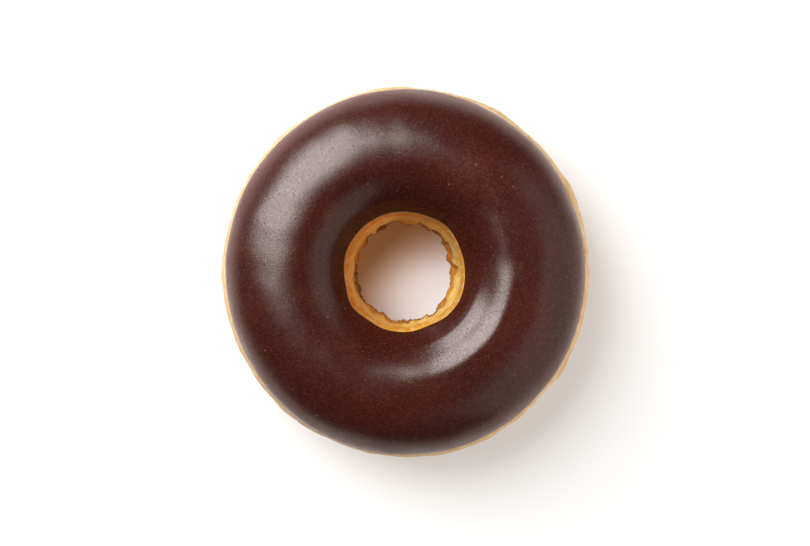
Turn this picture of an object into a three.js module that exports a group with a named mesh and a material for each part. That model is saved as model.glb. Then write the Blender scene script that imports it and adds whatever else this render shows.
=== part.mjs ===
// Ring doughnut: a ring of fried yeast dough, and the coat of chocolate glaze that has set on its upper half.
// Millimetres, +Z up. The origin lies on the surface the ring rests on, below the middle of the ring.
import * as THREE from "three";

// Driving dimensions of the dough.
const RING_DIAMETER = 92; // across the waist, where the two fried halves meet
const HOLE_DIAMETER = 24.4; // at the lip, the narrowest place in the hole
const DOUGH_HEIGHT = 30;
const CREST_RADIUS = 28.5; // where the ring is highest, a little nearer the hole than the rim
const WAIST_HEIGHT = 14.5;
const HOLE_WAIST_RADIUS = 13.5;
const LIP_HEIGHT = 7.5; // below the waist, where the lower crust curls into the hole
const SEAT_OUTER_RADIUS = 35.5; // the flat underside that the ring rests on
const SEAT_INNER_RADIUS = 21.5;

// Driving dimensions of the glaze.
const GLAZE_THICKNESS = 0.9;
const GLAZE_CLEARANCE = 0.3; // between the crust and the underside of the coat
const RIM_EDGE_ANGLE = 0.42; // radians above the waist, as seen from the middle of the dough's section
const HOLE_EDGE_ANGLE = 0.62;

// Unevenness from proving and frying: each wave adds size * cos(lobes * azimuth - phase) millimetres.
const RIM_WAVES = [
  { lobes: 2, size: 0.2, phase: 3.45 },
  { lobes: 3, size: 0.12, phase: 2.95 },
];
const CREST_WAVES = [
  { lobes: 1, size: 0.25, phase: 0.6 },
  { lobes: 2, size: 0.3, phase: 2.1 },
];
const HOLE_SHIFT = -0.4; // the hole was cut this far off centre, along X

// Fineness of the solids.
const TURN_STEPS = 64;
const SECTION_STEP = 0.2; // radians of arc to each straight step of a section
const WALL_STEPS = 6;
const NOSE_STEPS = 4;

const QUARTER_TURN = Math.PI / 2;
const rimRadius = RING_DIAMETER / 2;
const lipRadius = HOLE_DIAMETER / 2;
const sectionMiddle = new THREE.Vector2(CREST_RADIUS, WAIST_HEIGHT);
const rimReach = new THREE.Vector2(rimRadius - CREST_RADIUS, DOUGH_HEIGHT - WAIST_HEIGHT);
const holeReach = new THREE.Vector2(CREST_RADIUS - HOLE_WAIST_RADIUS, DOUGH_HEIGHT - WAIST_HEIGHT);

// Part of an ellipse in the section plane, as points of (radius, height), always turning to the left.
function arc(middle, reach, from, to) {
  const curve = new THREE.EllipseCurve(middle.x, middle.y, reach.x, reach.y, from, to);
  return curve.getPoints(Math.ceil((to - from) / SECTION_STEP));
}

// Stretches of outline, each of which starts where the one before it ends, as a single run of points.
function joined(stretches) {
  return stretches.flatMap((points, i) => (i === 0 ? points : points.slice(1)));
}

// The crust under the glaze, from the glaze's edge near the rim, over the crest, to its edge in the hole.
function glazedCrust() {
  return joined([
    arc(sectionMiddle, rimReach, RIM_EDGE_ANGLE, QUARTER_TURN),
    arc(sectionMiddle, holeReach, QUARTER_TURN, Math.PI - HOLE_EDGE_ANGLE),
  ]);
}

// The wall of the hole below the waist, which leans in to the lip in a gentle S.
function wallToLip() {
  const bendHeight = (WAIST_HEIGHT + LIP_HEIGHT) / 2;
  const curve = new THREE.CubicBezierCurve(
    new THREE.Vector2(HOLE_WAIST_RADIUS, WAIST_HEIGHT),
    new THREE.Vector2(HOLE_WAIST_RADIUS, bendHeight),
    new THREE.Vector2(lipRadius, bendHeight),
    new THREE.Vector2(lipRadius, LIP_HEIGHT),
  );
  return curve.getPoints(WALL_STEPS);
}

// The dough's section, from the outer edge of its flat seat round to the inner edge.
function doughOutline() {
  const underRimMiddle = new THREE.Vector2(SEAT_OUTER_RADIUS, WAIST_HEIGHT);
  const underRimReach = new THREE.Vector2(rimRadius - SEAT_OUTER_RADIUS, WAIST_HEIGHT);
  const underLipMiddle = new THREE.Vector2(SEAT_INNER_RADIUS, LIP_HEIGHT);
  const underLipReach = new THREE.Vector2(SEAT_INNER_RADIUS - lipRadius, LIP_HEIGHT);
  return joined([
    arc(underRimMiddle, underRimReach, -QUARTER_TURN, 0),
    arc(sectionMiddle, rimReach, 0, RIM_EDGE_ANGLE),
    glazedCrust(),
    arc(sectionMiddle, holeReach, Math.PI - HOLE_EDGE_ANGLE, Math.PI),
    wallToLip(),
    arc(underLipMiddle, underLipReach, Math.PI, Math.PI + QUARTER_TURN),
  ]);
}

// An outline moved square to itself, towards its right-hand side.
function movedOut(points, distance) {
  return points.map((point, i) => {
    const before = points[Math.max(i - 1, 0)];
    const after = points[Math.min(i + 1, points.length - 1)];
    const along = new THREE.Vector2().subVectors(after, before).normalize();
    return new THREE.Vector2(point.x + along.y * distance, point.y - along.x * distance);
  });
}

// Half a circle from one point to another, turning to the left: the rounded edge of the coat.
function nose(from, to) {
  const middle = from.clone().lerp(to, 0.5);
  const reach = from.distanceTo(to) / 2;
  const start = Math.atan2(from.y - middle.y, from.x - middle.x);
  const curve = new THREE.EllipseCurve(middle.x, middle.y, reach, reach, start, start + Math.PI);
  return curve.getPoints(NOSE_STEPS);
}

// The glaze's section: a coat of even thickness just clear of the crust, with a rounded edge on both sides.
function glazeOutline() {
  const under = movedOut(glazedCrust(), GLAZE_CLEARANCE).reverse();
  const over = movedOut(glazedCrust(), GLAZE_CLEARANCE + GLAZE_THICKNESS);
  const rimNose = nose(under.at(-1), over[0]);
  const holeNose = nose(over.at(-1), under[0]);
  return joined([over, holeNose, under, rimNose]).slice(0, -1);
}

function waveAt(waves, azimuth) {
  return waves.reduce((sum, w) => sum + w.size * Math.cos(w.lobes * azimuth - w.phase), 0);
}

// Turns an outline round the ring's axis, then makes it as uneven as hand-cut, fried dough.
// The seat stays flat, because each point rises in proportion to its height.
function turnedRing(outline) {
  const geometry = new THREE.LatheGeometry([...outline, outline[0]], TURN_STEPS).rotateX(QUARTER_TURN);
  const position = geometry.getAttribute("position");
  for (let i = 0; i < position.count; i++) {
    const [x, y, z] = [position.getX(i), position.getY(i), position.getZ(i)];
    const radius = Math.hypot(x, y);
    const azimuth = Math.atan2(y, x);
    const towardsRim = (radius - lipRadius) / (rimRadius - lipRadius);
    const widen = 1 + (waveAt(RIM_WAVES, azimuth) * towardsRim) / radius;
    const raise = 1 + waveAt(CREST_WAVES, azimuth) / DOUGH_HEIGHT;
    position.setXYZ(i, x * widen + HOLE_SHIFT * (1 - towardsRim), y * widen, z * raise);
  }
  geometry.computeVertexNormals();
  return geometry;
}

function ringMesh(name, outline, material) {
  const mesh = new THREE.Mesh(turnedRing(outline), material);
  mesh.name = name;
  return mesh;
}

const friedCrust = new THREE.MeshStandardMaterial({ color: 0xd29440, roughness: 0.6, metalness: 0 });
const chocolate = new THREE.MeshStandardMaterial({ color: 0x46201a, roughness: 0.32, metalness: 0 });

const doughnut = new THREE.Group();
doughnut.add(ringMesh("dough_ring", doughOutline(), friedCrust));
doughnut.add(ringMesh("chocolate_glaze", glazeOutline(), chocolate));

export default doughnut;
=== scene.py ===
"""Ring doughnut: a ring of fried yeast dough with a set coat of chocolate glaze, lying on a pale table.

Laid out as a Blender add-on. Each piece has an operator, and main() runs them in order.
"""

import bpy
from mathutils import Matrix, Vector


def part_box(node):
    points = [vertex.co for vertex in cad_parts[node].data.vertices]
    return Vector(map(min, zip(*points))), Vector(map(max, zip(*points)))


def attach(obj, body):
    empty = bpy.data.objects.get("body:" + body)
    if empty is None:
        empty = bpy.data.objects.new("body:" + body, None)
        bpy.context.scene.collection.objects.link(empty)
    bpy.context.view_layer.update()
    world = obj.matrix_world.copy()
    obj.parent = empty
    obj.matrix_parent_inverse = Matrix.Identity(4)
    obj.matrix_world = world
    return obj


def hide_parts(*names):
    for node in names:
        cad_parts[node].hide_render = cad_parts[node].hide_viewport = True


bl_info = {
    "name": "Ring Doughnut",
    "version": (1, 0, 0),
    "blender": (4, 5, 0),
    "location": "View3D > Sidebar > Doughnut",
    "description": "Models a ring doughnut with a chocolate glaze, and the table and lights around it",
    "category": "Add Mesh",
}

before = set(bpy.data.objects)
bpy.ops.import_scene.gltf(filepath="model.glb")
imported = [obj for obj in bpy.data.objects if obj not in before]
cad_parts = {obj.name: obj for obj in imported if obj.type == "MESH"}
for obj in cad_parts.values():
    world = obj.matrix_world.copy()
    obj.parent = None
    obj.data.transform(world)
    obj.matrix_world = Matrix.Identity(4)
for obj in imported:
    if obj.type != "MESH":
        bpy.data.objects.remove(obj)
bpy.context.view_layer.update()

import math

import bmesh
import bpy
from mathutils import Vector

DOUGH_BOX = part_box("dough_ring")
GLAZE_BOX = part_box("chocolate_glaze")
MM = 0.001
WELD_DISTANCE = 1e-6

# The section's outline starts as a circle of this many points, and the ring is spun in this many steps.
SECTION_POINTS = 52
SPIN_STEPS = 112
# Both pieces are rounded by this many levels of subdivision.
SMOOTH_LEVELS = 2

# The upper shoulder of the hole's wall: its place from the wall's waist, and how it is filled out.
SHOULDER_PLACE = Vector((1.5, 0, 8)) * MM
SHOULDER_SWELLING = Vector((-0.4, 0, 0.4)) * MM
SHOULDER_REACH = 3.5 * MM
# How far the hole lies off centre at its upper edge and at its lip: X, Y and Z in millimetres, by height.
HOLE_SHIFTS = {22: (-0.6, 0.1, 0), 7.5: (-0.4, 0.1, 0)}
HOLE_SHIFT_REACH = 8 * MM

# Azimuths are in degrees, counted from +X towards +Y.
# The hole's soft corners, and the flat stretches between them: azimuth, then how far out in millimetres.
HOLE_CORNERS = (
    (47, 0.7), (165, 0.2), (213, 1.05), (230, -0.35), (264, -0.45), (292, -1.1), (331, 0.5),
)
HOLE_CORNER_REACH = 7 * MM
# Where the rim stands out: azimuth, then how far and how wide in millimetres.
RIM_SWELLINGS = (
    (25, 0.35, 8), (62, 0.5, 9), (96, 0.3, 7), (134, 0.1, 9), (180, 0.4, 4), (206, 0.25, 6),
    (232, 0.3, 8), (251, 0.3, 5), (284, 0.55, 7), (297, 0.5, 7), (329, 0.45, 7),
)

# The shallow furrow round the inner slope of the glaze: its middle, and how far it runs either way.
FURROW_MIDDLE = 322
FURROW_SPREAD = 62
FURROW_RADIUS = 20.7 * MM
FURROW_REACH = 3.0 * MM
FURROW_DEPTH = 0.3 * MM
# The slight brow above the furrow, where the slope bends.
BROW_RADIUS = 25.9 * MM
BROW_REACH = 2.4 * MM
BROW_HEIGHT = 0.15 * MM
# The dip in the glaze at the furrow's end.
DIP_AZIMUTH = 253
DIP_RADIUS = 23 * MM
DIP_REACH = 12 * MM
DIP_DEPTH = 0.4 * MM
# A short crease in the glaze: its middle, the way it runs, and how far it reaches along and across.
CREASE_MIDDLE = Vector((19.9, 19.9)) * MM
CREASE_AZIMUTH = -53
CREASE_LENGTH = 5.5 * MM
CREASE_WIDTH = 0.85 * MM
CREASE_DEPTH = 0.3 * MM
# The coat is furrowed and creased only above this height.
FURROW_FLOOR = 27.5 * MM

# How much longer along the ring than up it the streaks in the crust are.
STREAK_STRETCH = 4
# How much of the fine grain comes from its finer part, and how many times finer that is.
FINER_SHARE = 0.35
FINER_SCALE = 3.7

# Narrow warm beams onto the hole's shaded wall: the azimuth that each falls on, and its watts.
HOLE_SPOTS = ((85, 7), (155, 12), (235, 12))
# Where on the wall they are aimed, how far from there they hang, how many degrees down from overhead, and
# how many degrees wide their cone is.
SPOT_AIM_RADIUS = 14 * MM
SPOT_AIM_HEIGHT = 13 * MM
SPOT_DISTANCE = 1.0
SPOT_TILT = 60
SPOT_CONE = 2.1
# The camera looks straight down on this point of the table.
VIEW_MIDDLE = Vector((-0.25, -0.25)) * MM


# ---------------------------------------------------------------------------------------------------------
# Modelling helpers
# ---------------------------------------------------------------------------------------------------------


def fade(value, start, end):
    """0 before start and 1 after end, with a smooth step between. start may be the higher of the two."""
    share = min(1.0, max(0.0, (value - start) / (end - start)))
    return share * share * (3 - 2 * share)


def bell(value, reach):
    """1 at zero, falling smoothly to 0 at this reach on either side."""
    return fade(abs(value), reach, 0)


def radius_of(point):
    """A point's distance from the ring's axis."""
    return math.hypot(point.x, point.y)


def turn_from(azimuth, point):
    """The degrees from an azimuth to a point's own, the shorter way round."""
    return (math.degrees(math.atan2(point.y, point.x)) - azimuth + 180) % 360 - 180


def around_axis(radius, azimuth, height=0.0):
    """The point at this distance from the ring's axis."""
    turn = math.radians(azimuth)
    return Vector((radius * math.cos(turn), radius * math.sin(turn), height))


def name_piece(name):
    """Names the object that was just added, and its mesh."""
    piece = bpy.context.active_object
    piece.name = name
    piece.data.name = name
    return piece


def select_points(piece, test):
    """In edit mode, selects just the vertices whose place passes the test."""
    mesh = bmesh.from_edit_mesh(piece.data)
    for vertex in mesh.verts:
        vertex.select = bool(test(vertex.co))
    mesh.select_flush_mode()
    bmesh.update_edit_mesh(piece.data)


def carrying(reach):
    """The settings with which a transform carries along what lies within this reach of the selection."""
    return {
        "use_proportional_edit": True,
        "proportional_edit_falloff": "SMOOTH",
        "proportional_size": reach,
    }


def pull(piece, spot, move, reach):
    """In edit mode, draws the surface around a spot along with it, as a thumb would."""
    mesh = bmesh.from_edit_mesh(piece.data)
    nearest = min((vertex.co for vertex in mesh.verts), key=lambda point: (point - spot).length).copy()
    select_points(piece, lambda point: (point - nearest).length < WELD_DISTANCE)
    bpy.ops.transform.translate(value=move, **carrying(reach))


def weight_points(piece, name, weight_at):
    """A vertex group whose weights come from each vertex's place."""
    group = piece.vertex_groups.new(name=name)
    for vertex in piece.data.vertices:
        weight = weight_at(vertex.co)
        if weight > 0:
            group.add([vertex.index], weight, "REPLACE")
    return group.name


def apply_modifier(piece, kind, **settings):
    """Adds a modifier to the active piece, and makes its result the piece's mesh."""
    modifier = piece.modifiers.new(kind.title(), kind)
    for setting, value in settings.items():
        setattr(modifier, setting, value)
    bpy.ops.object.modifier_apply(modifier=modifier.name)


def press(piece, name, depth, weight_at):
    """Sinks the surface by up to this depth, as far as the weights say. A depth below zero raises it."""
    group = weight_points(piece, name, weight_at)
    apply_modifier(piece, "DISPLACE", strength=-depth, mid_level=0.0, vertex_group=group)


def smooth(piece):
    """Rounds the piece's coarse faces."""
    apply_modifier(piece, "SUBSURF", levels=SMOOTH_LEVELS, render_levels=SMOOTH_LEVELS)


def roughen(piece, size, height, group="", kind="CLOUDS", depth=1, direction="NORMAL"):
    """Raises and sinks the surface by a noise whose bumps are about size across."""
    texture = bpy.data.textures.new(f"{piece.name} {kind.lower()} {size / MM:.1f} mm", kind)
    texture.noise_scale = size
    if kind == "CLOUDS":
        texture.noise_depth = depth
    apply_modifier(
        piece, "DISPLACE", texture=texture, texture_coords="LOCAL", strength=height,
        direction=direction, vertex_group=group,
    )


def finish_piece(piece, material, node):
    """Gives the piece its material and smooth shading, hangs it under the root body, and hides the solid it
    replaces.
    """
    piece.vertex_groups.clear()
    piece.data.materials.clear()
    piece.data.materials.append(material)
    bpy.ops.object.shade_smooth()
    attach(piece, "root")
    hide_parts(node)


# ---------------------------------------------------------------------------------------------------------
# The ring's body, which both the dough and the glaze start from
# ---------------------------------------------------------------------------------------------------------


def add_section(name, dough):
    """The dough's section, as a loop of points in the plane Y = 0."""
    rise = dough.height - dough.waist_height
    middle = Vector((dough.crest_radius, 0, dough.waist_height))
    bpy.ops.object.select_all(action="DESELECT")
    bpy.ops.mesh.primitive_circle_add(
        vertices=SECTION_POINTS, radius=rise, location=middle, rotation=(math.pi / 2, 0, 0)
    )
    section = name_piece(name)
    bpy.ops.object.transform_apply(location=True, rotation=True, scale=True)
    bpy.ops.object.mode_set(mode="EDIT")
    rim_reach = dough.rim_radius - dough.crest_radius
    hole_reach = dough.crest_radius - dough.hole_waist_radius
    select_points(section, lambda point: point.x > middle.x)
    bpy.ops.transform.resize(value=(rim_reach / rise, 1, 1), center_override=middle)
    select_points(section, lambda point: point.x < middle.x)
    bpy.ops.transform.resize(value=(hole_reach / rise, 1, 1), center_override=middle)
    select_points(section, lambda point: point.z < middle.z)
    drop = dough.waist_height + dough.seat_press
    bpy.ops.transform.resize(value=(1, 1, drop / rise), center_override=middle)
    press_seat_flat(section)
    round_wall(section, dough)
    return section


def press_seat_flat(piece, below=0.0):
    """In edit mode, flattens what lies lower than this onto the table."""
    select_points(piece, lambda point: point.z < below)
    bpy.ops.transform.resize(value=(1, 1, 0), center_override=(0, 0, 0))


def round_wall(section, dough):
    """Draws the hole's lower wall in, where the crust curls under, and fills out its upper shoulder."""
    mesh = bmesh.from_edit_mesh(section.data)
    wall = [vertex.co for vertex in mesh.verts if vertex.co.x < dough.crest_radius]
    lip = min(wall, key=lambda point: abs(point.z - dough.lip_height)).copy()
    pull(section, lip, (dough.lip_radius - lip.x, 0, 0), dough.lip_reach)
    waist = Vector((dough.hole_waist_radius, 0, dough.waist_height))
    pull(section, waist + SHOULDER_PLACE, SHOULDER_SWELLING, SHOULDER_REACH)


def add_ring_body(name, dough):
    """The whole ring, coarse and still regular, in edit mode."""
    ring = add_section(name, dough)
    bpy.ops.mesh.select_all(action="SELECT")
    bpy.ops.mesh.spin(steps=SPIN_STEPS, angle=math.tau, center=(0, 0, 0), axis=(0, 0, 1))
    bpy.ops.mesh.select_all(action="SELECT")
    bpy.ops.mesh.remove_doubles(threshold=WELD_DISTANCE)
    bpy.ops.mesh.normals_make_consistent(inside=False)
    bpy.ops.transform.resize(value=(dough.squeeze, 2 - dough.squeeze, 1), center_override=(0, 0, 0))
    shift_hole(ring, dough)
    return ring


def shift_hole(ring, dough):
    """Moves the hole a little off centre, with soft corners where the cutter dragged."""
    wall_radius = dough.crest_radius - 10 * MM  # all of the hole's wall lies nearer the axis than this
    for height, shift in HOLE_SHIFTS.items():
        bottom = (height - 2) * MM
        top = (height + 2) * MM
        select_points(ring, lambda point: bottom < point.z < top and radius_of(point) < wall_radius)
        bpy.ops.transform.translate(value=Vector(shift) * MM, **carrying(HOLE_SHIFT_REACH))
    corner_height = dough.waist_height + 5 * MM
    for azimuth, outwards in HOLE_CORNERS:
        corner = around_axis(dough.hole_waist_radius + 1 * MM, azimuth, corner_height)
        pull(ring, corner, around_axis(outwards * MM, azimuth), HOLE_CORNER_REACH)


def prove(piece):
    """Swells the piece as unevenly as rising dough. The glaze lies on the dough, so both get the same."""
    roughen(piece, size=26 * MM, height=0.7 * MM, direction="RGB_TO_XYZ")


# ---------------------------------------------------------------------------------------------------------
# Shader helpers
# ---------------------------------------------------------------------------------------------------------


def feed(tree, node, inputs):
    """Gives each of these inputs its value, or links it to the socket that feeds it."""
    for name, value in inputs.items():
        if isinstance(value, bpy.types.NodeSocket):
            tree.links.new(value, node.inputs[name])
        else:
            node.inputs[name].default_value = value


def add_node(tree, kind, inputs=None, **settings):
    """A node with these settings, and with inputs that are values or the sockets that feed them."""
    node = tree.nodes.new(kind)
    for setting, value in settings.items():
        setattr(node, setting, value)
    feed(tree, node, inputs or {})
    return node


def add_maths(tree, operation, first, second=0.0, third=0.0):
    inputs = {0: first, 1: second, 2: third}
    return add_node(tree, "ShaderNodeMath", inputs, operation=operation).outputs[0]


def add_vector_maths(tree, operation, first, second=(0, 0, 0)):
    return add_node(tree, "ShaderNodeVectorMath", {0: first, 1: second}, operation=operation).outputs


def add_ramp(tree, value, start, end, low=0.0, high=1.0):
    """A smooth step from low to high as value goes from start to end."""
    inputs = {"Value": value, "From Min": start, "From Max": end, "To Min": low, "To Max": high}
    return add_node(tree, "ShaderNodeMapRange", inputs, interpolation_type="SMOOTHSTEP").outputs["Result"]


def add_mix(tree, share, first, second):
    """The first colour, with this share of the second."""
    return add_node(tree, "ShaderNodeMix", {0: share, 6: first, 7: second}, data_type="RGBA").outputs[2]


def add_noise(tree, vector, size, detail=2.0, roughness=0.5):
    """A noise around 0.5, with bumps of about this size."""
    inputs = {"Vector": vector, "Scale": 1 / size, "Detail": detail, "Roughness": roughness}
    return add_node(tree, "ShaderNodeTexNoise", inputs).outputs[0]


def add_cells(tree, vector, scale):
    """Cells around scattered points: the distance to a cell's point, and the cell's own random number."""
    cells = add_node(tree, "ShaderNodeTexVoronoi", {"Vector": vector, "Scale": scale}).outputs
    lot = add_node(tree, "ShaderNodeSeparateColor", {"Color": cells["Color"]}).outputs[0]
    return cells["Distance"], lot


def add_bump(tree, relief, strength, depth):
    """The surface's normal, tilted as if the relief were this deep."""
    inputs = {"Strength": strength, "Distance": depth, "Height": relief}
    return add_node(tree, "ShaderNodeBump", inputs).outputs["Normal"]


def add_height_and_radius(tree, place):
    """A place's height above the table, and its distance from the ring's axis."""
    axes = add_node(tree, "ShaderNodeSeparateXYZ", {"Vector": place}).outputs
    flat = add_node(tree, "ShaderNodeCombineXYZ", {"X": axes["X"], "Y": axes["Y"]}).outputs[0]
    return axes["Z"], add_vector_maths(tree, "LENGTH", flat)["Value"]


def start_material(name):
    """A material with its Principled shader, and the piece's own coordinates."""
    material = bpy.data.materials.new(name)
    material.use_nodes = True
    tree = material.node_tree
    place = add_node(tree, "ShaderNodeTexCoord").outputs["Object"]
    return material, tree, tree.nodes["Principled BSDF"], place


# ---------------------------------------------------------------------------------------------------------
# Shader groups that both materials share
# ---------------------------------------------------------------------------------------------------------


def start_group(name, numbers, output):
    """An empty shader group with a vector and these numbers as inputs, and one number as output."""
    tree = bpy.data.node_groups.new(name, "ShaderNodeTree")
    tree.interface.new_socket("Vector", in_out="INPUT", socket_type="NodeSocketVector")
    for socket, default in numbers.items():
        made = tree.interface.new_socket(socket, in_out="INPUT", socket_type="NodeSocketFloat")
        made.default_value = default
    tree.interface.new_socket(output, in_out="OUTPUT", socket_type="NodeSocketFloat")
    return tree, tree.nodes.new("NodeGroupInput").outputs, tree.nodes.new("NodeGroupOutput")


def build_scattered_dots(name):
    """Sparse round dots. Share is the part of the cells that hold one."""
    numbers = {"Spacing": 2 * MM, "Size": 0.2 * MM, "Share": 0.5}
    tree, given, result = start_group(name, numbers, "Mask")
    scale = add_maths(tree, "DIVIDE", 1.0, given["Spacing"])
    distance, lot = add_cells(tree, given["Vector"], scale)
    dot = add_ramp(tree, add_maths(tree, "MULTIPLY", distance, given["Spacing"]), given["Size"], 0.0)
    chosen = add_maths(tree, "LESS_THAN", lot, given["Share"])
    feed(tree, result, {"Mask": add_maths(tree, "MULTIPLY", dot, chosen)})
    return tree


def build_fine_grain(name):
    """A fine uneven grain around 0.5, from coarse grains of the given size and finer ones on them."""
    tree, given, result = start_group(name, {"Size": 1 * MM}, "Height")
    vector = given["Vector"]
    scale = add_maths(tree, "DIVIDE", 1.0, given["Size"])
    coarse = add_node(tree, "ShaderNodeTexNoise", {"Vector": vector, "Scale": scale, "Detail": 3.0})
    finer_scale = add_maths(tree, "MULTIPLY", scale, FINER_SCALE)
    finer = add_node(tree, "ShaderNodeTexNoise", {"Vector": vector, "Scale": finer_scale, "Detail": 2.0})
    base = add_maths(tree, "MULTIPLY", coarse.outputs[0], 1 - FINER_SHARE)
    feed(tree, result, {"Height": add_maths(tree, "MULTIPLY_ADD", finer.outputs[0], FINER_SHARE, base)})
    return tree


def add_effect(tree, name, build, inputs):
    """Places a shared group, which is built the first time that it is needed."""
    group = bpy.data.node_groups.get(name) or build(name)
    return add_node(tree, "ShaderNodeGroup", inputs, node_tree=group).outputs[0]


def add_dots(tree, vector, spacing, size, share):
    """Specks, pinholes or pores."""
    inputs = {"Vector": vector, "Spacing": spacing, "Size": size, "Share": share}
    return add_effect(tree, "Scattered Dots", build_scattered_dots, inputs)


def add_grain(tree, vector, size):
    return add_effect(tree, "Fine Grain", build_fine_grain, {"Vector": vector, "Size": size})


# ---------------------------------------------------------------------------------------------------------
# Fried crust
# ---------------------------------------------------------------------------------------------------------


def add_crust_noise(tree, vector, size):
    """A noise as ragged as the browning of fried dough."""
    return add_noise(tree, vector, size, detail=5.0, roughness=0.65)


def add_streaks(tree, place, radius):
    """A noise drawn out along the ring, as the crust stretched while it swelled."""
    along = 1 / STREAK_STRETCH
    drawn = add_vector_maths(tree, "MULTIPLY", place, (along, along, 1))[0]
    inputs = {"Vector": drawn, "W": radius, "Scale": 1 / (0.8 * MM), "Detail": 5.0, "Roughness": 0.65}
    return add_node(tree, "ShaderNodeTexNoise", inputs, noise_dimensions="4D").outputs[0]


def add_band_edges(tree, dough, height, near_rim):
    """Masks of the crust above and below the pale band. The band is wide at the rim, narrow in the hole."""
    waist = dough.waist_height
    band_top = add_ramp(tree, near_rim, 0, 1, waist + 0.3 * MM, waist + 5 * MM)
    band_foot = add_ramp(tree, near_rim, 0, 1, waist - 3.2 * MM, waist - 3.5 * MM)
    above = add_ramp(tree, add_maths(tree, "SUBTRACT", height, band_top), 0, 2 * MM)
    below = add_ramp(tree, add_maths(tree, "SUBTRACT", band_foot, height), 0, 1.2 * MM)
    return above, below


def add_upper_color(tree, dough, place, streaks):
    """Golden, deeper in streaks, with paler blotches that are drawn out up and down."""
    golden = add_mix(tree, add_ramp(tree, streaks, 0.38, 0.6), dough.golden_color, dough.deep_color)
    upright = add_vector_maths(tree, "MULTIPLY", place, (1, 1, 0.35))[0]
    blotches = add_ramp(tree, add_crust_noise(tree, upright, 1.8 * MM), 0.46, 0.6, high=0.5)
    return add_mix(tree, blotches, golden, dough.pale_color)


def add_band_color(tree, dough, streaks, near_rim):
    """Creamy round the rim and pale gold in the hole, with golden streaks, stronger in the hole."""
    pale = add_mix(tree, near_rim, dough.pale_color, dough.cream_color)
    strength = add_ramp(tree, near_rim, 0, 1, 0.65, 0.5)
    streaked = add_maths(tree, "MULTIPLY", add_ramp(tree, streaks, 0.44, 0.58), strength)
    return add_mix(tree, streaked, pale, dough.golden_color)


def add_scorch(tree, height, radius):
    """A mask of the crust that turns under along the hole's lip, where it is darkest."""
    normal = add_node(tree, "ShaderNodeTexCoord").outputs["Normal"]
    facing = add_node(tree, "ShaderNodeSeparateXYZ", {"Vector": normal}).outputs["Z"]
    turned_under = add_ramp(tree, facing, 0.5, 0.0)
    low = add_ramp(tree, height, 12 * MM, 9.5 * MM)
    in_hole = add_ramp(tree, radius, 17 * MM, 15 * MM)
    return add_maths(tree, "MULTIPLY", turned_under, add_maths(tree, "MULTIPLY", low, in_hole))


def fried_crust_material(dough):
    """Golden crust above and below, scorched along the lip, with a pale band round the waist."""
    material, tree, shader, place = start_material("fried_crust")
    height, radius = add_height_and_radius(tree, place)
    near_rim = add_ramp(tree, radius, 18 * MM, 40 * MM)
    streaks = add_streaks(tree, place, radius)
    wander = add_maths(tree, "SUBTRACT", add_crust_noise(tree, place, 5 * MM), 0.5)
    mottle = add_crust_noise(tree, place, 2.2 * MM)
    pores = add_dots(tree, place, spacing=1.6 * MM, size=0.35 * MM, share=0.5)

    # The band's edges are ragged, and follow the streaks.
    ragged = add_maths(tree, "MULTIPLY_ADD", wander, 4 * MM, height)
    ragged = add_maths(tree, "MULTIPLY_ADD", add_maths(tree, "SUBTRACT", streaks, 0.5), 9 * MM, ragged)
    above, below = add_band_edges(tree, dough, ragged, near_rim)
    lower = add_mix(tree, add_ramp(tree, mottle, 0.35, 0.7), dough.deep_color, dough.brown_color)
    color = add_mix(tree, below, add_band_color(tree, dough, streaks, near_rim), lower)
    color = add_mix(tree, above, color, add_upper_color(tree, dough, place, streaks))
    scorch = add_scorch(tree, add_maths(tree, "MULTIPLY_ADD", wander, 3 * MM, height), radius)
    color = add_mix(tree, scorch, color, dough.scorch_color)
    color = add_mix(tree, add_maths(tree, "MULTIPLY", pores, 0.5), color, dough.brown_color)

    wrinkles = add_noise(tree, place, 1.6 * MM, detail=6.0, roughness=0.62)
    relief = add_maths(tree, "MULTIPLY_ADD", add_grain(tree, place, 0.5 * MM), 0.4, wrinkles)
    relief = add_maths(tree, "MULTIPLY_ADD", streaks, 0.8, relief)
    relief = add_maths(tree, "MULTIPLY_ADD", pores, -0.5, relief)
    feed(tree, shader, {
        "Base Color": color,
        "Roughness": add_ramp(tree, mottle, 0.2, 0.8, low=0.5, high=0.68),
        "Normal": add_bump(tree, relief, strength=0.9, depth=0.45 * MM),
        "Subsurface Weight": 0.15,
        "Subsurface Radius": (1.0, 0.45, 0.15),
        "Subsurface Scale": 2 * MM,
    })
    return material


# ---------------------------------------------------------------------------------------------------------
# Chocolate
# ---------------------------------------------------------------------------------------------------------


def add_chocolate_color(tree, glaze, place, specks):
    """Dark patches, lighter where the coat is thin near the rim, with crystals and specks of sugar."""
    height, radius = add_height_and_radius(tree, place)
    patches = add_noise(tree, place, 9 * MM, detail=3.0)
    color = add_mix(tree, add_ramp(tree, patches, 0.3, 0.7), glaze.dark_color, glaze.warm_color)
    low = add_ramp(tree, height, 26.5 * MM, 21 * MM)
    near_rim = add_ramp(tree, radius, 34 * MM, 38 * MM)
    color = add_mix(tree, add_maths(tree, "MULTIPLY", low, near_rim), color, glaze.thin_color)
    crystal_lot = add_cells(tree, place, 1 / (0.3 * MM))[1]
    color = add_mix(tree, add_ramp(tree, crystal_lot, 0.3, 1.0, high=0.3), color, glaze.thin_color)
    return add_mix(tree, add_maths(tree, "MULTIPLY", specks, 0.75), color, glaze.speck_color)


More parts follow.
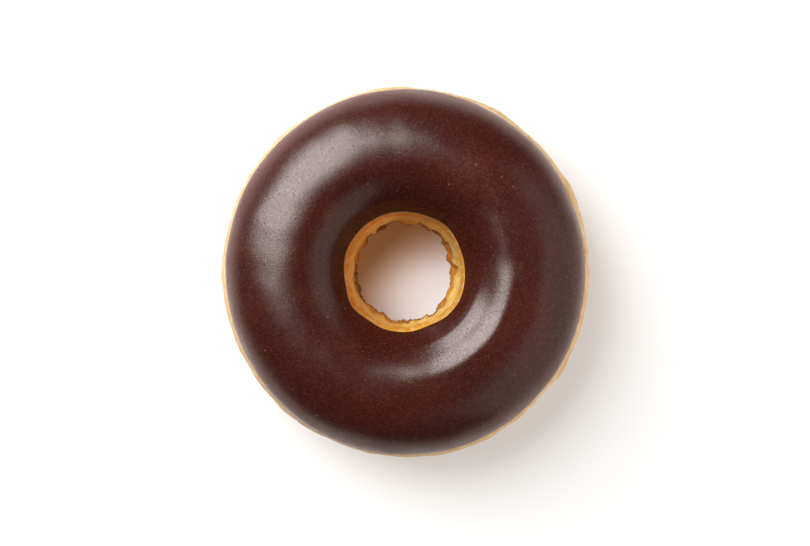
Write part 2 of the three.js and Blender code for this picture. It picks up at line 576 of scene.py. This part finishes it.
def chocolate_material(glaze):
    """Dark set chocolate with a satin shine, pinholes and a few specks of undissolved sugar."""
    material, tree, shader, place = start_material("chocolate")
    radius = add_height_and_radius(tree, place)[1]
    pinholes = add_dots(tree, place, spacing=1.2 * MM, size=0.24 * MM, share=0.8)
    specks = add_dots(tree, place, spacing=3.2 * MM, size=0.36 * MM, share=0.4)

    # Slightly cloudy, duller from the crest outwards, and dull in the pinholes.
    cloudy = add_noise(tree, place, 2.5 * MM, detail=4.0)
    dull = add_ramp(tree, cloudy, 0.25, 0.75, low=0.2, high=0.24)
    dull = add_maths(tree, "ADD", dull, add_ramp(tree, radius, 25 * MM, 30 * MM, high=0.04))
    dull = add_maths(tree, "MULTIPLY_ADD", pinholes, 0.3, dull)

    # The shine glints in fine grains, and is weaker towards the hole.
    glints = add_noise(tree, place, 0.35 * MM, detail=3.0)
    glints = add_ramp(tree, glints, 0.32, 0.68, low=0.44, high=0.76)
    shine = add_maths(tree, "MULTIPLY", glints, add_ramp(tree, radius, 15.5 * MM, 21 * MM, low=0.4))

    relief = add_maths(tree, "MULTIPLY_ADD", pinholes, -0.8, add_grain(tree, place, 0.35 * MM))
    relief = add_maths(tree, "MULTIPLY_ADD", specks, 0.3, relief)
    feed(tree, shader, {
        "Base Color": add_chocolate_color(tree, glaze, place, specks),
        "Roughness": dull,
        "Specular IOR Level": shine,
        "Normal": add_bump(tree, relief, strength=0.5, depth=0.08 * MM),
        "IOR": 1.5,
    })
    return material


# ---------------------------------------------------------------------------------------------------------
# Properties
# ---------------------------------------------------------------------------------------------------------


def length_property(name, description, default):
    return bpy.props.FloatProperty(
        name=name, description=description, default=default, subtype="DISTANCE", unit="LENGTH", precision=4
    )


def azimuth_property(name, description, degrees):
    return bpy.props.FloatProperty(
        name=name, description=description, default=math.radians(degrees), subtype="ANGLE", unit="ROTATION"
    )


def power_property(name, description, watts):
    return bpy.props.FloatProperty(name=name, description=description, default=watts, unit="POWER", min=0)


def number_property(name, description, default, lowest, highest):
    return bpy.props.FloatProperty(
        name=name, description=description, default=default, min=lowest, max=highest, precision=3
    )


def color_property(name, description, default):
    return bpy.props.FloatVectorProperty(
        name=name, description=description, default=(*default, 1.0), size=4, subtype="COLOR", min=0, max=1
    )


class DoughSettings(bpy.types.PropertyGroup):
    """Sizes and colours of the ring of dough."""

    rim_radius: length_property("Rim radius", "From the axis to the rim, at the waist", 46 * MM)
    height: length_property("Height", "From the table to the crest", DOUGH_BOX[1].z - 0.5 * MM)
    crest_radius: length_property("Crest radius", "Where the ring is highest", 27.9 * MM)
    waist_height: length_property("Waist height", "Where the two fried halves meet", 14.5 * MM)
    hole_waist_radius: length_property("Hole waist radius", "The hole at the waist's height", 13.9 * MM)
    lip_radius: length_property("Lip radius", "The hole at its narrowest", 12.6 * MM)
    lip_height: length_property("Lip height", "Where the hole is narrowest", 7.5 * MM)
    lip_reach: length_property("Lip reach", "How far up and down the wall the lip draws in", 8 * MM)
    seat_press: length_property("Seat press", "How far the underside is pressed flat", 1.4 * MM)
    squeeze: number_property("Squeeze", "Width along X as a share of the round width", 0.997, 0.9, 1.1)
    golden_color: color_property("Golden", "The upper crust", (0.54, 0.282, 0.036))
    deep_color: color_property("Deep golden", "The crust where it fried longer", (0.47, 0.22, 0.024))
    brown_color: color_property("Brown", "The browned lower crust", (0.42, 0.15, 0.018))
    pale_color: color_property("Pale", "The paler line round the hole's wall", (0.64, 0.475, 0.17))
    cream_color: color_property("Cream", "The band that stayed above the oil", (0.73, 0.50, 0.28))
    scorch_color: color_property("Scorched", "The frill of the lip", (0.25, 0.08, 0.015))


class GlazeSettings(bpy.types.PropertyGroup):
    """Sizes and colours of the coat of glaze."""

    thickness: length_property("Thickness", "Of the coat above the crust", 0.9 * MM)
    sink: length_property("Sink", "How far the coat soaks into the crust", 0.3 * MM)
    taper: length_property("Taper", "Height over which the coat thins out towards its edge", 3 * MM)
    edge_share: number_property("Edge share", "Thickness at the edge as a share", 0.45, 0.1, 1)
    rim_edge_height: length_property("Rim edge height", "Where the coat ends at the rim", 20.1 * MM)
    hole_edge_height: length_property("Hole edge height", "Where the coat ends in the hole", 22.5 * MM)
    slant_x: number_property("Slant along X", "Rise of the hole's edge", 0.024, -0.2, 0.2)
    slant_y: number_property("Slant along Y", "Rise of the hole's edge", -0.018, -0.2, 0.2)
    squeeze: number_property("Squeeze", "Width of the rim's edge along X as a share", 0.994, 0.9, 1.1)
    squeeze_middle: length_property("Squeeze middle", "Where along X it is squeezed towards", -25 * MM)
    dark_color: color_property("Dark chocolate", "The coat's darker patches", (0.047, 0.0106, 0.0056))
    warm_color: color_property("Warm chocolate", "The coat's lighter patches", (0.058, 0.0132, 0.0070))
    thin_color: color_property("Thin chocolate", "Its thin edge, and crystals", (0.135, 0.057, 0.044))
    speck_color: color_property("Specks", "Specks of undissolved sugar", (0.30, 0.15, 0.10))


class StageSettings(bpy.types.PropertyGroup):
    """The table, the lights and the camera."""

    table_width: length_property("Table width", "Width of the pale table", 4.0)
    camera_height: length_property("Camera height", "Height of the camera above the table", 0.7)
    frame_width: length_property("Frame width", "Width of the view at the waist's height", 0.2025)
    table_color: color_property("Table", "The pale table around the doughnut", (0.50, 0.50, 0.50))
    hole_color: color_property("Hole", "The table in the hole", (0.79, 0.86, 0.91))
    # Painted shade: the table's colour on the hole's shaded side.
    shade_color: color_property("Hole's shade", "The table on the hole's shaded side", (0.42, 0.42, 0.44))
    shade_azimuth: azimuth_property("Shade azimuth", "The hole's shaded side", 112)
    # The glow is painted light: it lightens the shadow outside the ring; in the hole it is painted bounce
    # light.
    table_glow: number_property("Table glow", "Strength of the light from below the table", 0.385, 0, 2)
    glow_color: color_property("Glow", "The light from below the table", (1.0, 0.955, 0.915))
    # Painted bounce light: the warm glow of the table in the hole, and its colour.
    hole_glow: number_property("Hole glow", "Strength of the crust's light on the table", 0.145, 0, 2)
    crust_light: color_property("Crust light", "What the hole's crust throws back", (1.0, 0.39, 0.12))
    room_light: number_property("Room light", "Strength of the light from all round", 0.01, 0, 2)
    key_azimuth: azimuth_property("Key azimuth", "Where the soft box hangs", 138)
    key_power: power_property("Key power", "The soft box", 17.0)
    fill_power: power_property("Fill power", "The large weak panel", 6.6)
    rim_power: power_property("Rim power", "The low panel that lights the crust round the rim", 5.2)
    spot_color: color_property("Hole spots", "The beams onto the hole's shaded wall", (1.0, 0.54, 0.28))


# ---------------------------------------------------------------------------------------------------------
# Operators
# ---------------------------------------------------------------------------------------------------------


class DOUGHNUT_OT_dough_ring(bpy.types.Operator):
    """Model the ring of fried dough"""

    bl_idname = "doughnut.dough_ring"
    bl_label = "Dough Ring"

    def execute(self, context):
        dough = context.scene.doughnut_dough
        ring = add_ring_body("fried_dough_ring", dough)
        self.swell_rim(ring, dough)
        bpy.ops.object.mode_set(mode="OBJECT")
        prove(ring)
        smooth(ring)
        self.crinkle(ring)
        bpy.ops.object.mode_set(mode="EDIT")
        bpy.ops.mesh.select_mode(type="VERT")
        press_seat_flat(ring, below=0.15 * MM)
        bpy.ops.mesh.normals_make_consistent(inside=False)
        bpy.ops.object.mode_set(mode="OBJECT")
        finish_piece(ring, fried_crust_material(dough), "dough_ring")
        return {"FINISHED"}

    def swell_rim(self, ring, dough):
        """Bulges where the rim stands out past the glaze."""
        for azimuth, swelling, reach in RIM_SWELLINGS:
            spot = around_axis(dough.rim_radius, azimuth, dough.waist_height)
            pull(ring, spot, around_axis(swelling * MM, azimuth), reach * MM)

    def crinkle(self, ring):
        """Blisters and wrinkles on the bare crust, and the torn frill along the hole's lip."""
        glaze_edge = GLAZE_BOX[0].z

        def bareness(point):
            return fade(point.z, glaze_edge + 0.5 * MM, glaze_edge - 3 * MM)

        def on_lip(point):
            above_seat = fade(point.z, 1 * MM, 5 * MM)
            below_waist = fade(point.z, 13.5 * MM, 9.5 * MM)
            return above_seat * below_waist * fade(radius_of(point), 18 * MM, 14.5 * MM)

        bare = weight_points(ring, "bare crust", bareness)
        lip = weight_points(ring, "lip", on_lip)
        roughen(ring, size=7 * MM, height=0.7 * MM, group=bare)
        roughen(ring, size=2.2 * MM, height=0.35 * MM, group=bare, depth=3)
        roughen(ring, size=4.2 * MM, height=1.9 * MM, group=lip, kind="VORONOI")
        roughen(ring, size=2.1 * MM, height=1.6 * MM, group=lip, depth=2)
        roughen(ring, size=0.9 * MM, height=0.8 * MM, group=lip, depth=2)


class DOUGHNUT_OT_chocolate_glaze(bpy.types.Operator):
    """Model the coat of chocolate glaze on the ring's upper half"""

    bl_idname = "doughnut.chocolate_glaze"
    bl_label = "Chocolate Glaze"

    def execute(self, context):
        dough = context.scene.doughnut_dough
        glaze = context.scene.doughnut_glaze
        coat = add_ring_body("chocolate_coat", dough)
        self.keep_dipped_part(coat, dough, glaze)
        self.thicken(coat, glaze)
        prove(coat)
        smooth(coat)
        self.settle(coat)
        self.sink_dip(coat)
        self.furrow(coat)
        self.crease(coat)
        finish_piece(coat, chocolate_material(glaze), "chocolate_glaze")
        return {"FINISHED"}

    def keep_dipped_part(self, coat, dough, glaze):
        """The glaze ran down to a level edge round the rim, and to a higher, slanting one in the hole."""
        edge_height = glaze.rim_edge_height
        bpy.ops.mesh.select_all(action="SELECT")
        bpy.ops.mesh.bisect(plane_co=(0, 0, edge_height), plane_no=(0, 0, 1), clear_inner=True)
        select_points(coat, lambda point: point.z < edge_height + WELD_DISTANCE)
        bpy.ops.transform.resize(
            value=(glaze.squeeze, 2 - glaze.squeeze, 1),
            center_override=(glaze.squeeze_middle, 0, 0),
            **carrying(5 * MM),
        )
        select_points(coat, lambda point: radius_of(point) < dough.crest_radius)
        slanting = (-glaze.slant_x, -glaze.slant_y, 1)
        bpy.ops.mesh.bisect(plane_co=(0, 0, glaze.hole_edge_height), plane_no=slanting, clear_inner=True)
        bpy.ops.object.mode_set(mode="OBJECT")

    def thicken(self, coat, glaze):
        """Gives the coat its thickness, less towards the rim's edge. Part of it soaks into the crust."""
        edge_height = glaze.rim_edge_height
        full = weight_points(
            coat, "full thickness", lambda point: fade(point.z, edge_height, edge_height + glaze.taper)
        )
        whole = glaze.thickness + glaze.sink
        apply_modifier(
            coat, "SOLIDIFY", thickness=whole, offset=(glaze.thickness - glaze.sink) / whole,
            use_even_offset=True, use_rim=True, vertex_group=full, thickness_vertex_group=glaze.edge_share,
        )

    def settle(self, coat):
        """The rim's edge wanders up and down a little, and the whole coat is slightly wavy."""
        edge_height = GLAZE_BOX[0].z
        edge = weight_points(
            coat, "edge", lambda point: fade(point.z, edge_height + 4 * MM, edge_height + 1 * MM)
        )
        roughen(coat, size=9 * MM, height=1.4 * MM, group=edge, direction="Z")
        roughen(coat, size=11 * MM, height=0.3 * MM)

    def sink_dip(self, coat):
        """The broad, shallow dip at the furrow's end."""
        bpy.ops.object.mode_set(mode="EDIT")
        bpy.ops.mesh.select_mode(type="VERT")
        pull(coat, around_axis(DIP_RADIUS, DIP_AZIMUTH, GLAZE_BOX[1].z), (0, 0, -DIP_DEPTH), DIP_REACH)
        bpy.ops.object.mode_set(mode="OBJECT")

    def furrow(self, coat):
        """The shallow furrow round the inner slope, with the brow above it."""

        def along_furrow(radius, reach):
            return lambda point: (
                bell(radius_of(point) - radius, reach)
                * bell(turn_from(FURROW_MIDDLE, point), FURROW_SPREAD)
                * (point.z > FURROW_FLOOR)
            )

        press(coat, "furrow", FURROW_DEPTH, along_furrow(FURROW_RADIUS, FURROW_REACH))
        press(coat, "brow", -BROW_HEIGHT, along_furrow(BROW_RADIUS, BROW_REACH))

    def crease(self, coat):
        """The short crease beyond the furrow's other end."""
        along = around_axis(1, CREASE_AZIMUTH).to_2d()
        across = along.orthogonal()

        def in_crease(point):
            offset = point.to_2d() - CREASE_MIDDLE
            depth = bell(offset.dot(along), CREASE_LENGTH) * bell(offset.dot(across), CREASE_WIDTH)
            return depth * (point.z > FURROW_FLOOR)

        press(coat, "crease", CREASE_DEPTH, in_crease)


class DOUGHNUT_OT_stage(bpy.types.Operator):
    """Set up the pale table, the soft lights and the camera"""

    bl_idname = "doughnut.stage"
    bl_label = "Table, Lights and Camera"

    def execute(self, context):
        stage = context.scene.doughnut_stage
        self.lay_table(stage)
        self.hang_camera(context, stage)
        self.set_lights(stage)
        self.light_room(context, stage)
        context.scene.view_settings.view_transform = "Standard"
        context.scene.view_settings.look = "Medium High Contrast"
        return {"FINISHED"}

    def lay_table(self, stage):
        """A table that glows, as painted light that lightens its shadow, except where the doughnut stands.

        In the hole it has painted shade on one side, and a glow of painted bounce light from the crust.
        """
        bpy.ops.object.select_all(action="DESELECT")
        bpy.ops.mesh.primitive_plane_add(size=stage.table_width)
        table = name_piece("table")
        material, tree, shader, place = start_material("table_top")
        radius = add_height_and_radius(tree, place)[1]
        rim_radius = DOUGH_BOX[1].x
        # Outside the ring the table glows: painted light that lightens the doughnut's cast shadow on it.
        outside = add_ramp(tree, radius, rim_radius - 8 * MM, rim_radius)
        # In the hole the table glows warm: painted bounce light from the crust.
        hole_glow = add_ramp(tree, radius, 20 * MM, 15 * MM, high=stage.hole_glow)
        # Painted shade: in the hole the table is darker towards the shade azimuth, where the ring keeps
        # light out.
        shade_side = around_axis(1, math.degrees(stage.shade_azimuth))
        towards_shade = add_vector_maths(tree, "DOT_PRODUCT", place, shade_side)["Value"]
        shade = add_ramp(tree, towards_shade, -4 * MM, 9 * MM)
        hole = add_mix(tree, shade, stage.hole_color, stage.shade_color)
        feed(tree, shader, {
            "Base Color": add_mix(tree, outside, hole, stage.table_color),
            "Emission Color": add_mix(tree, outside, stage.crust_light, stage.glow_color),
            "Emission Strength": add_maths(tree, "MULTIPLY_ADD", outside, stage.table_glow, hole_glow),
            "Roughness": 1.0,
            "Specular IOR Level": 0.0,
        })
        table.data.materials.append(material)

    def hang_camera(self, context, stage):
        """A camera above the doughnut, whose view is as wide as the settings say at the waist's height."""
        place = VIEW_MIDDLE.to_3d() + Vector((0, 0, stage.camera_height))
        bpy.ops.object.camera_add(location=place, rotation=(0, 0, 0))
        camera = context.active_object
        camera.name = "camera"
        distance = stage.camera_height - context.scene.doughnut_dough.waist_height
        camera.data.lens = camera.data.sensor_width * distance / stage.frame_width
        context.scene.camera = camera

    def set_lights(self, stage):
        """A soft box, a weak fill, and a low panel and narrow beams that leave no highlights."""
        self.add_panel(
            "key_softbox", stage.key_power, width=0.80, height=0.94,
            distance=1.0, azimuth=math.degrees(stage.key_azimuth), tilt=39.5, aim_height=0.3,
        )
        self.add_panel(
            "fill_panel", stage.fill_power, width=2.2, height=1.4, distance=1.2, azimuth=345, tilt=60
        )
        low = self.add_panel(
            "rim_panel", stage.rim_power, width=1.2, height=0.2, distance=1.2, azimuth=340, tilt=83
        )
        low.visible_camera = False
        low.visible_glossy = False
        for azimuth, power in HOLE_SPOTS:
            self.add_hole_spot(azimuth, power, stage.spot_color)

    def add_light(self, kind, name, power, place, aim):
        """A light that hangs at one point and shines towards another."""
        turn = (aim - place).to_track_quat("-Z", "Y").to_euler()
        bpy.ops.object.light_add(type=kind, location=place, rotation=turn)
        light = bpy.context.active_object
        light.name = name
        light.data.energy = power
        return light

    def add_panel(self, name, power, width, height, distance, azimuth, tilt, aim_height=0.0):
        """A rectangular light, aimed at a point on the ring's axis. tilt is its angle down from overhead."""
        tilt = math.radians(tilt)
        place = around_axis(distance * math.sin(tilt), azimuth, distance * math.cos(tilt))
        panel = self.add_light("AREA", name, power, place, aim=Vector((0, 0, aim_height)))
        panel.data.shape = "RECTANGLE"
        panel.data.size = width
        panel.data.size_y = height
        return panel

    def add_hole_spot(self, azimuth, power, color):
        """A narrow beam that slips over the ring onto the shaded wall of the hole at this azimuth."""
        tilt = math.radians(SPOT_TILT)
        aim = around_axis(SPOT_AIM_RADIUS, azimuth, SPOT_AIM_HEIGHT)
        place = aim + SPOT_DISTANCE * around_axis(-math.sin(tilt), azimuth, math.cos(tilt))
        spot = self.add_light("SPOT", f"hole_spot_{azimuth}", power, place, aim)
        spot.visible_glossy = False
        spot.data.color = color[:3]
        spot.data.spot_size = math.radians(SPOT_CONE)
        spot.data.spot_blend = 1.0

    def light_room(self, context, stage):
        """A dark room, which the camera sees as white beyond the table."""
        room = bpy.data.worlds.new("room")
        room.use_nodes = True
        tree = room.node_tree
        seen = add_node(tree, "ShaderNodeLightPath").outputs["Is Camera Ray"]
        strength = add_ramp(tree, seen, 0.0, 1.0, low=stage.room_light)
        feed(tree, tree.nodes["Background"], {"Color": (1, 1, 1, 1), "Strength": strength})
        context.scene.world = room


# ---------------------------------------------------------------------------------------------------------
# Panel and registration
# ---------------------------------------------------------------------------------------------------------


class DOUGHNUT_PT_sidebar(bpy.types.Panel):
    """The doughnut's settings and operators"""

    bl_idname = "DOUGHNUT_PT_sidebar"
    bl_label = "Ring Doughnut"
    bl_space_type = "VIEW_3D"
    bl_region_type = "UI"
    bl_category = "Doughnut"

    def draw(self, context):
        for operator, settings in STEPS:
            box = self.layout.box()
            group = getattr(context.scene, settings)
            for name in group.__annotations__:
                box.prop(group, name)
            box.operator(operator.bl_idname)


STEPS = (
    (DOUGHNUT_OT_dough_ring, "doughnut_dough"),
    (DOUGHNUT_OT_chocolate_glaze, "doughnut_glaze"),
    (DOUGHNUT_OT_stage, "doughnut_stage"),
)
SETTINGS = {
    "doughnut_dough": DoughSettings,
    "doughnut_glaze": GlazeSettings,
    "doughnut_stage": StageSettings,
}
CLASSES = (*SETTINGS.values(), *(operator for operator, _settings in STEPS), DOUGHNUT_PT_sidebar)


def register():
    for cls in CLASSES:
        bpy.utils.register_class(cls)
    for name, group in SETTINGS.items():
        setattr(bpy.types.Scene, name, bpy.props.PointerProperty(type=group))


def unregister():
    for name in SETTINGS:
        delattr(bpy.types.Scene, name)
    for cls in reversed(CLASSES):
        bpy.utils.unregister_class(cls)


def main():
    register()
    bpy.ops.doughnut.dough_ring()
    bpy.ops.doughnut.chocolate_glaze()
    bpy.ops.doughnut.stage()


if __name__ == "__main__":
    main()
